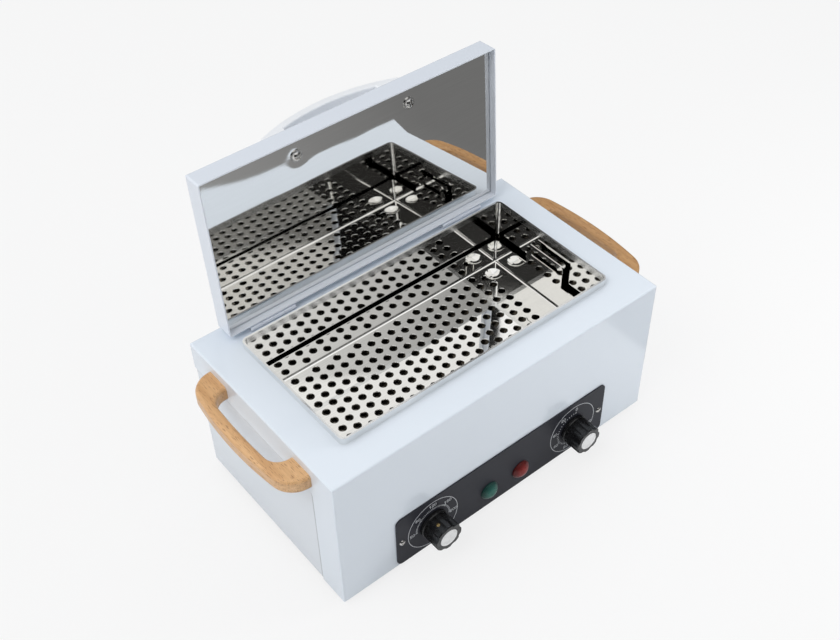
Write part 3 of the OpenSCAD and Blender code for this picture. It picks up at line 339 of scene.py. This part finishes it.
# How the lid's plate is drawn up: a slope, a bend of the strip along its top, and a dent at each screw
PLATE_SLOPE = 0.02
BEND_STRIP = 0.0415
HALF_BEND_LEFT, HALF_BEND_MIDDLE = 0.84, 0.59
BEND_LEFT_X = -0.135
DENT_R, DENT_DEPTH = 0.006, 0.00008
PLATE_WAVES = 0.0001


def pressed(name, colour, rough, top, screws):
    """Polished sheet drawn up by its two screws: what it reflects is bent near its top and round them."""
    m = Net(name)
    streak = m.noise(1.0, 3.0, 0.6, m.stretch(ROLLED))
    m.base(m.mottle(streak, colour, 0.97, 1.02))
    m.rough(m.remap(m.noise(22.0, 4.0, 0.6, distortion=0.8), rough * 0.7, rough * 1.3))
    x, _, z = m.axes(m.coord)
    down = m.maths("SUBTRACT", top, z)
    half_bend = m.remap(x, HALF_BEND_LEFT, HALF_BEND_MIDDLE, BEND_LEFT_X, 0.0)
    above = m.maths("MAXIMUM", m.maths("SUBTRACT", BEND_STRIP, down), 0.0)
    height = m.maths("MULTIPLY", half_bend, m.maths("MULTIPLY", above, above))
    height = m.maths("ADD", height, m.maths("MULTIPLY", down, PLATE_SLOPE))
    for screw_x, screw_z in screws:
        dx = m.maths("SUBTRACT", x, screw_x)
        dz = m.maths("SUBTRACT", z, screw_z)
        far2 = m.maths("ADD", m.maths("MULTIPLY", dx, dx), m.maths("MULTIPLY", dz, dz))
        dent = m.maths("EXPONENT", m.maths("MULTIPLY", far2, -1.0 / (2 * DENT_R ** 2)))
        height = m.maths("SUBTRACT", height, m.maths("MULTIPLY", dent, DENT_DEPTH))
    height = m.maths("ADD", height, m.maths("MULTIPLY", m.noise(16.0, 1.0), PLATE_WAVES))
    m.normal(m.bump(height, 1.0, 1.0, m.bump(streak, 0.02, 0.00004)))
    m.set("Metallic", 1.0)
    return m.mat


def lens(name, colour, deep, node):
    """Tinted lamp lens: moulded colour that is deeper towards the rim."""
    m = Net(name)
    lo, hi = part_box(node)
    radius = (hi[0] - lo[0]) / 2
    tint = m.mottle(m.noise(300.0, 2.0), colour, 0.92, 1.08)
    off_axis = m.add("ShaderNodeVectorMath", operation="LENGTH")
    m.link(m.stretch((1, 0, 1), (-(lo[0] + hi[0]) / 2, 0, -(lo[2] + hi[2]) / 2)), off_axis.inputs[0])
    rim = m.remap(off_axis.outputs["Value"], 0.0, 0.8, radius * 0.45, radius * 0.95)
    m.base(m.mix(rim, tint, deep))
    m.rough(m.remap(m.noise(500.0, 2.0), 0.26, 0.36))
    m.normal(m.bump(m.noise(1200.0, 2.0), 0.2, 0.00005))
    m.set("Specular IOR Level", 0.35)
    m.set("Subsurface Weight", 0.15)
    m.set("Subsurface Radius", (0.004, 0.004, 0.004))
    m.set("Subsurface Scale", 0.5)
    return m.mat


GRIP_LOW_SHADE = 0.0045


def timber(name):
    """Lacquered beech: straight long grain, soft growth bands and short dark flecks."""
    m = Net(name)
    x, _, z = m.axes(m.coord)
    bands = m.noise(60.0, 3.0, 0.55, m.stretch((1.0, 0.03, 0.7), rotate=(0.02, 0.0, 0.05)), 0.6)
    tone = m.ramp(bands, [(0.3, lin(192, 147, 97)), (0.5, lin(209, 168, 119)), (0.72, lin(226, 191, 148))])
    streak = m.noise(420.0, 4.0, 0.65, m.stretch((1.0, 0.06, 1.0)))
    tone = m.mix(m.remap(streak, 0.0, 0.62, 0.42, 0.72), tone, lin(174, 127, 80))
    fleck = m.noise(1300.0, 2.0, 0.5, m.stretch((1.0, 0.12, 1.0)))
    tone = m.mix(m.remap(fleck, 0.0, 0.62, 0.57, 0.68), tone, lin(126, 82, 46))
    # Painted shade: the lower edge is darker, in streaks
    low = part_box("left_handle")[0][2]
    low_edge_shade = m.remap(z, 0.65, 0.0, low, low + GRIP_LOW_SHADE)
    tone = m.mix(m.maths("MULTIPLY", low_edge_shade, m.remap(streak, 0.7, 1.0)), tone, lin(146, 98, 56))
    # Painted light and shade: the right grip is painted darker, as in shade, and the left one lighter, as
    # lit
    right_grip_shade = m.remap(x, 0.0, 1.0, -0.1, 0.1)
    m.base(m.mix(right_grip_shade, m.mix(1.0, tone, (1.2, 1.2, 1.24, 1), "MULTIPLY"),
                 m.mix(1.0, tone, (0.82, 0.75, 0.66, 1), "MULTIPLY")))
    m.rough(m.remap(streak, 0.34, 0.5))
    m.normal(m.bump(fleck, 0.16, 0.00012, m.bump(streak, 0.12, 0.00012)))
    m.set("Coat Weight", 0.35)
    m.set("Coat Roughness", 0.16)
    return m.mat


def wool(name, colour):
    """Mineral wool: matted fibres."""
    m = Net(name)
    fibre = m.noise(500.0, 5.0, 0.7, m.stretch((1.0, 0.3, 1.0)), 2.0)
    m.base(m.mottle(fibre, colour, 0.8, 1.06))
    m.normal(m.bump(fibre, 0.7, 0.0008))
    m.set("Roughness", 0.95)
    return m.mat


def ink(name, colour):
    """Screen-printed ink, slightly uneven."""
    m = Net(name)
    speck = m.noise(1800.0)
    m.base(m.ramp(speck, [(0.3, shade(colour, 0.86)), (0.7, colour)]))
    m.rough(m.remap(m.noise(700.0, 2.0), 0.5, 0.62))
    m.normal(m.bump(speck, 0.15, 0.00003))
    return m.mat


COVER_LO, COVER_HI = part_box("outer_cover")
TRAY_UNDER_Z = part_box("tray")[0][2]
# Width of the cover's flange down the front of each side, and along the top of the sides and back
SIDE_FLANGE_W, SIDE_FLANGE_H = 0.028, 0.026
WRAP_SEAM = (COVER_LO[1] + SIDE_FLANGE_W, COVER_HI[2] - SIDE_FLANGE_H)
MAT = {
    "cover": enamel("cover_enamel", lin(227, 235, 244), 0.17, peel=0.14, coat=0.3),
    "wrap": enamel("wrap_enamel", lin(224, 230, 237), 0.2, peel=0.14, coat=0.3, seam=WRAP_SEAM),
    "lid": enamel("lid_enamel", lin(226, 232, 241), 0.2, peel=0.14, coat=0.3),
    "hinge": enamel("hinge_enamel", lin(227, 233, 243), 0.34, peel=0.2, coat=0.2),
    "panel": enamel("panel_sheet", lin(42, 43, 51), 0.46, peel=0.35, coat=0.0, spec=0.26),
    "chamber": steel("chamber_steel", (0.92, 0.915, 0.895, 1), 0.03, lines=0.03,
                     floor_z=TRAY_UNDER_Z + 0.0005, hem_z=COVER_HI[2] + 0.0004),
    "tray": steel("tray_steel", (0.93, 0.925, 0.905, 1), 0.035, lines=0.03),
    "pan": steel("pan_steel", (0.55, 0.55, 0.56, 1), 0.34, lines=0.3),
    "zinc": plated("zinc_plate", (0.62, 0.62, 0.62, 1), 0.3),
    "nickel": plated("nickel_plate", (0.72, 0.71, 0.69, 1), 0.18),
    "brass": plated("turned_brass", (0.66, 0.47, 0.2, 1), 0.25),
    "alloy": plated("cast_alloy", (0.6, 0.61, 0.63, 1), 0.4),
    "knob": moulded("knob_plastic", lin(15, 15, 16), 0.26, grain=0.2, coat=0.2),
    "black": moulded("black_plastic", lin(30, 30, 31), 0.5, grain=0.35),
    "rubber": moulded("foot_rubber", lin(34, 34, 35), 0.75, grain=0.5, spec=0.3),
    "cream": moulded("block_plastic", lin(225, 220, 205), 0.45, grain=0.2),
    "ceramic": moulded("cutout_ceramic", lin(70, 66, 64), 0.55, grain=0.3),
    "handle": moulded("handle_plastic", lin(240, 242, 245), 0.36, grain=0.08, coat=0.15, cast=0.012),
    "green": lens("green_lens", lin(50, 104, 94), lin(14, 48, 44), "green_lamp_lens"),
    "red": lens("red_lens", lin(134, 44, 42), lin(62, 12, 12), "red_lamp_lens"),
    "wood": timber("beech"),
    "wool": wool("mineral_wool", (0.72, 0.66, 0.5, 1)),
    "ink": ink("white_ink", lin(225, 228, 232)),
}
MADE_OF = {
    "cover": ["outer_cover"],
    "wrap": ["rear_wrap"],
    "lid": ["lid_shell"],
    "hinge": ["hinge_fixed_leaves", "hinge_moving_leaves"],
    "panel": ["control_panel"],
    "chamber": ["chamber_liner"],
    "tray": ["tray"],
    "pan": ["base_pan", "heat_shield"],
    "zinc": ["foot_screws", "foot_nuts", "base_screws", "heater_element", "heater_straps", "strap_screws",
             "bulb_clips", "handle_screws", "hinge_pins"],
    "nickel": ["sensing_bulb", "panel_screws", "bushing_nuts", "inlet_screws", "lid_handle_screws",
               "lid_handle_washers", "temperature_shaft", "timer_shaft"],
    "brass": ["earth_stud", "inlet_pins", "temperature_set_screw", "timer_set_screw"],
    "alloy": ["heater_plate", "timer_body"],
    "knob": ["temperature_knob", "timer_knob"],
    "black": ["thermostat_body", "lamp_holders", "power_inlet"],
    "rubber": ["feet"],
    "cream": ["terminal_block"],
    "ceramic": ["thermal_cutout"],
    "handle": ["lid_handle"],
    "green": ["green_lamp_lens"],
    "red": ["red_lamp_lens"],
    "wood": ["left_handle", "right_handle"],
    "wool": ["insulation_jacket", "lid_insulation"],
}


def assign(ob, mat):
    if not ob.material_slots:
        ob.data.materials.append(mat)
    for slot in ob.material_slots:
        slot.material = mat


def plate_material():
    """The lid plate's own material, which follows the places of its two screws."""
    plate_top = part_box("lid_inner_plate")[1][2]
    lo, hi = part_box("lid_handle_washers")
    washer_r = (hi[2] - lo[2]) / 2
    screw_z = (hi[2] + lo[2]) / 2
    screws = [(lo[0] + washer_r, screw_z), (hi[0] - washer_r, screw_z)]
    return pressed("lid_steel", (0.88, 0.875, 0.86, 1), 0.02, plate_top, screws)


for key, names in MADE_OF.items():
    for name in names:
        assign(NODES[name], MAT[key])
for name in ("temperature_disc", "timer_disc"):
    assign(NODES[name], spun(name + "_face", grey(0.93), middle(name), 0.4))
assign(NODES["lid_inner_plate"], plate_material())


def mesh_object(name, verts, faces, mat):
    mesh = bpy.data.meshes.new(name)
    mesh.from_pydata(verts, [], faces)
    mesh.materials.append(mat)
    mesh.update()
    ob = bpy.data.objects.new(name, mesh)
    scene.collection.objects.link(ob)
    return ob


# Printed dials
INK_T = 0.00008
RING_R, RING_W = 0.0253, 0.00045
RING_STEPS = 120
FIGURE_R, FIGURE_H, FIGURE_STROKE = 0.0212, 0.0029, 0.00055
LONG_TICK = (0.0159, 0.0182, 0.0006)
SHORT_TICK = (0.0162, 0.0177, 0.00045)

# Strokes of plain dial figures in a box 1 wide and 1.6 high
STROKE_BOX_H = 1.6
FIGURE_GAP = 0.42
STROKES = {
    "0": [[(.5, 1.6), (.14, 1.42), (0, 1.1), (0, .5), (.14, .18), (.5, 0), (.86, .18), (1, .5), (1, 1.1),
           (.86, 1.42), (.5, 1.6)]],
    "1": [[(.15, 1.25), (.55, 1.6), (.55, 0)]],
    "2": [[(0, 1.2), (.12, 1.48), (.5, 1.6), (.88, 1.48), (1, 1.15), (.85, .82), (0, 0), (1, 0)]],
    "4": [[(.72, 0), (.72, 1.6), (0, .5), (1, .5)]],
    "5": [[(.95, 1.6), (.12, 1.6), (.05, .9), (.5, 1.02), (.9, .85), (1, .5), (.85, .14), (.45, 0),
           (0, .15)]],
    "6": [[(.9, 1.45), (.55, 1.6), (.15, 1.35), (0, .7), (.1, .2), (.5, 0), (.88, .15), (1, .5), (.85, .85),
           (.5, .98), (.1, .8)]],
    "8": [[(.5, .88), (.1, 1.1), (.1, 1.45), (.5, 1.6), (.9, 1.45), (.9, 1.1), (.5, .88), (.05, .6),
           (.05, .2), (.5, 0), (.95, .2), (.95, .6), (.5, .88)]],
}


class Print:
    """Collects thin printed shapes on a plane that faces -Y, round the centre (x, z)."""

    def __init__(self, x, y, z):
        self.x, self.y, self.z = x, y, z
        self.verts, self.faces = [], []

    def slab(self, loop):
        """A thin slab from a closed 2-D loop (x to the right, z up)."""
        count = len(loop)
        at = len(self.verts)
        for y in (self.y, self.y - INK_T):
            self.verts += [(self.x + a, y, self.z + b) for a, b in loop]
        self.faces.append([at + count + i for i in range(count)])
        self.faces.append([at + count - 1 - i for i in range(count)])
        for i in range(count):
            j = (i + 1) % count
            self.faces.append([at + i, at + j, at + count + j, at + count + i])

    def ring(self, r, width):
        at = len(self.verts)
        inner, outer = r - width / 2, r + width / 2
        for i in range(RING_STEPS):
            a = math.radians(360 * i / RING_STEPS)
            c, s = math.cos(a), math.sin(a)
            for corner_r, y in ((inner, self.y), (outer, self.y), (outer, self.y - INK_T),
                                (inner, self.y - INK_T)):
                self.verts.append((self.x + corner_r * c, y, self.z + corner_r * s))
        for i in range(RING_STEPS):
            here, there = at + 4 * i, at + 4 * ((i + 1) % RING_STEPS)
            for k in range(4):
                m = (k + 1) % 4
                self.faces.append([here + k, here + m, there + m, there + k])

    def tick(self, degrees, r0, r1, width):
        a = math.radians(degrees)
        c, s = math.cos(a), math.sin(a)
        h = width / 2
        self.slab([(r0 * c + h * s, r0 * s - h * c), (r1 * c + h * s, r1 * s - h * c),
                   (r1 * c - h * s, r1 * s + h * c), (r0 * c - h * s, r0 * s + h * c)])

    def stroke(self, start, end):
        """A straight stroke of a figure, a little longer at both ends so that strokes join."""
        (ax, az), (bx, bz) = start, end
        dx, dz = bx - ax, bz - az
        length = math.hypot(dx, dz)
        nx, nz = -dz / length * FIGURE_STROKE / 2, dx / length * FIGURE_STROKE / 2
        ex, ez = dx / length * FIGURE_STROKE * 0.35, dz / length * FIGURE_STROKE * 0.35
        self.slab([(bx + nx + ex, bz + nz + ez), (bx - nx + ex, bz - nz + ez),
                   (ax - nx - ex, az - nz - ez), (ax + nx - ex, az + nz - ez)])

    def figures(self, text, cx, cz):
        """Upright figures, centred on (cx, cz)."""
        k = FIGURE_H / STROKE_BOX_H
        gap = FIGURE_GAP * k
        total = len(text) * k + (len(text) - 1) * gap
        x = cx - total / 2
        for figure in text:
            for line in STROKES[figure]:
                points = [(x + a * k, cz - FIGURE_H / 2 + b * k) for a, b in line]
                for start, end in zip(points, points[1:]):
                    self.stroke(start, end)
            x += k + gap


def dial(name, node, texts, first, last, tick_steps):
    """A dial's printed scale: figures at even steps from the first angle to the last, ticks between them."""
    x, _, z = middle(node)
    panel_face_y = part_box("control_panel")[0][1]
    pr = Print(x, panel_face_y, z)
    pr.ring(RING_R, RING_W)
    gaps = len(texts) - 1
    for i, text in enumerate(texts):
        a = math.radians(first + (last - first) * i / gaps)
        pr.figures(text, FIGURE_R * math.cos(a), FIGURE_R * math.sin(a))
    steps = gaps * tick_steps
    for i in range(steps + 1):
        pr.tick(first + (last - first) * i / steps, *(SHORT_TICK if i % tick_steps else LONG_TICK))
    ob = mesh_object(name, pr.verts, pr.faces, MAT["ink"])
    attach(ob, "cabinet")


dial("temperature_scale", "temperature_disc", ["50", "80", "120", "160", "200"], 182, -2, 10)
dial("timer_scale", "timer_disc", ["0", "20", "40", "60", "80", "100", "120"], 81, 339, 5)

# Floor
FLOOR_HALF = 14.0
PAPER_WHITE = 0.965
PAPER_SHARE = 0.8


def add_floor():
    m = Net("floor")
    m.base(m.ramp(m.noise(3.0, 2.0), [(0.3, grey(0.81)), (0.7, grey(0.825))]))
    m.set("Roughness", 0.9)
    m.set("Specular IOR Level", 0.1)
    # Most of what the camera sees of the table is plain paper white, so that the shadows stay faint
    paper = m.glow("ShaderNodeEmission", grey(PAPER_WHITE))
    seen = m.maths("MULTIPLY", m.add("ShaderNodeLightPath").outputs["Is Camera Ray"], PAPER_SHARE)
    m.link(m.blend(seen, m.shader.outputs["BSDF"], paper), m.out.inputs["Surface"])
    s = FLOOR_HALF
    floor = mesh_object("floor", [(-s, -s, 0), (s, -s, 0), (s, s, 0), (-s, s, 0)], [(0, 1, 2, 3)], m.mat)


add_floor()


# Lights
def area(name, place, target, size, power):
    """A square lamp that polished surfaces don't show."""
    data = bpy.data.lights.new(name, "AREA")
    data.shape = "RECTANGLE"
    data.size = size
    data.size_y = size
    data.energy = power
    ob = bpy.data.objects.new(name, data)
    ob.location = place
    ob.rotation_mode = "QUATERNION"
    ob.rotation_quaternion = (Vector(target) - Vector(place)).to_track_quat("-Z", "Y")
    ob.visible_glossy = False
    scene.collection.objects.link(ob)


area("key", (-1.7, -0.1, 2.3), (0, 0, 0.1), 1.6, 24)
area("right_side", (0.7, -0.5, 0.36), (0.0, -0.05, 0.1), 0.3, 2.1)

# Cards that stand round the table out of view: only polished surfaces pick them up
CARD_AWAY = 8.0
CARD_FOOT_Z = 0.09
CARD_STEP = 3


def card_object(name, verts, faces, level, level_end=None, span=None):
    """A glowing card; with level_end, its level runs evenly to that between the two X of span."""
    mat = bpy.data.materials.new(name)
    mat.use_nodes = True
    nodes = Nodes(mat.node_tree)
    if level_end is None:
        light = nodes.glow("ShaderNodeEmission", grey(level))
    else:
        x = nodes.axes(nodes.add("ShaderNodeTexCoord").outputs["Object"])[0]
        light = nodes.glow("ShaderNodeEmission", grey(1.0), nodes.remap(x, level, level_end, *span))
    nodes.link(light, nodes.add("ShaderNodeOutputMaterial").inputs["Surface"])
    ob = mesh_object(name, verts, faces, mat)
    ob.visible_camera = False
    ob.visible_diffuse = False
    ob.visible_shadow = False
    ob.visible_transmission = False
    ob.visible_volume_scatter = False


def card(name, az0, az1, el0, el1, level, level_end=None):
    """A curved card between two compass angles (from +Y towards +X) and two elevations.

    With level_end, its level runs evenly from level at az0 to level_end at az1, both past 90 degrees."""
    steps = max(2, int(abs(az1 - az0) / CARD_STEP))
    verts = []
    for i in range(steps + 1):
        a = math.radians(az0 + (az1 - az0) * i / steps)
        for el in (el0, el1):
            verts.append((CARD_AWAY * math.sin(a), CARD_AWAY * math.cos(a),
                          CARD_FOOT_Z + CARD_AWAY * math.tan(math.radians(el))))
    faces = [(2 * i, 2 * i + 1, 2 * i + 3, 2 * i + 2) for i in range(steps)]
    span = [CARD_AWAY * math.sin(math.radians(az)) for az in (az0, az1)]
    card_object(name, verts, faces, level, level_end, span)


def card_on_table():
    """A grey L flat on the table, in front of the cabinet and to its right."""
    z = 0.0006
    left, inner, right = -0.9, 0.22, 1.7
    front, step, back = -1.3, -0.24, 0.9
    card_object("card_table",
                [(left, front, z), (inner, front, z), (inner, step, z), (left, step, z), (inner, back, z),
                 (right, back, z), (right, front, z)],
                [(0, 1, 2, 3), (1, 6, 5, 4)], 0.3, 0.17, span=(0.0, 0.35))


LOW, HIGH, TOP = -1, 40.5, 47.0
card("card_back", 2, 44, LOW, 47.5, 0.006)
card("card_right", 44, 112, LOW, 41.5, 0.008)
card("card_front_right", 112, 136, HIGH, TOP, 0.3)
card("card_front", 136, 153, HIGH, TOP, 0.3, 0.8)
card("card_front_left", 153, 168, HIGH, TOP, 0.8)
card("card_low_right", 112, 136, LOW, HIGH, 0.13)
card("card_low", 136, 160, LOW, HIGH, 0.13, 0.3)
card("card_low_left", 160, 168, LOW, HIGH, 0.3)
card("card_left", 168, 245, LOW, 43.5, 0.03)
card_on_table()


# Room and backdrop
def add_world():
    """A room, white overhead and dimmer low down, with a plain white backdrop.

    The camera, and metal that shows the backdrop, see it as it is; it lights nothing else."""
    world = bpy.data.worlds.new("studio")
    scene.world = world
    world.use_nodes = True
    w = Nodes(world.node_tree)
    _, y, z = w.axes(w.add("ShaderNodeTexCoord").outputs["Generated"])
    rise = w.remap(z, 0.6, 1.0, 0.35, 0.9, "SMOOTHSTEP")
    # It is darker towards the front, where nothing stands to throw light back
    dim = w.remap(y, 0.42, 1.0, -0.95, 0.0, "SMOOTHSTEP")
    room = w.glow("ShaderNodeBackground", (0.98, 0.99, 1.0, 1), w.maths("MULTIPLY", rise, dim))
    backdrop = w.glow("ShaderNodeBackground", grey(0.95))
    path = w.add("ShaderNodeLightPath")
    seen = path.outputs["Is Camera Ray"]
    for ray in ("Is Glossy Ray", "Is Transmission Ray"):
        seen = w.maths("MAXIMUM", seen, path.outputs[ray])
    w.link(w.blend(seen, room, backdrop), w.add("ShaderNodeOutputWorld").inputs["Surface"])


add_world()

scene.view_settings.view_transform = "Standard"
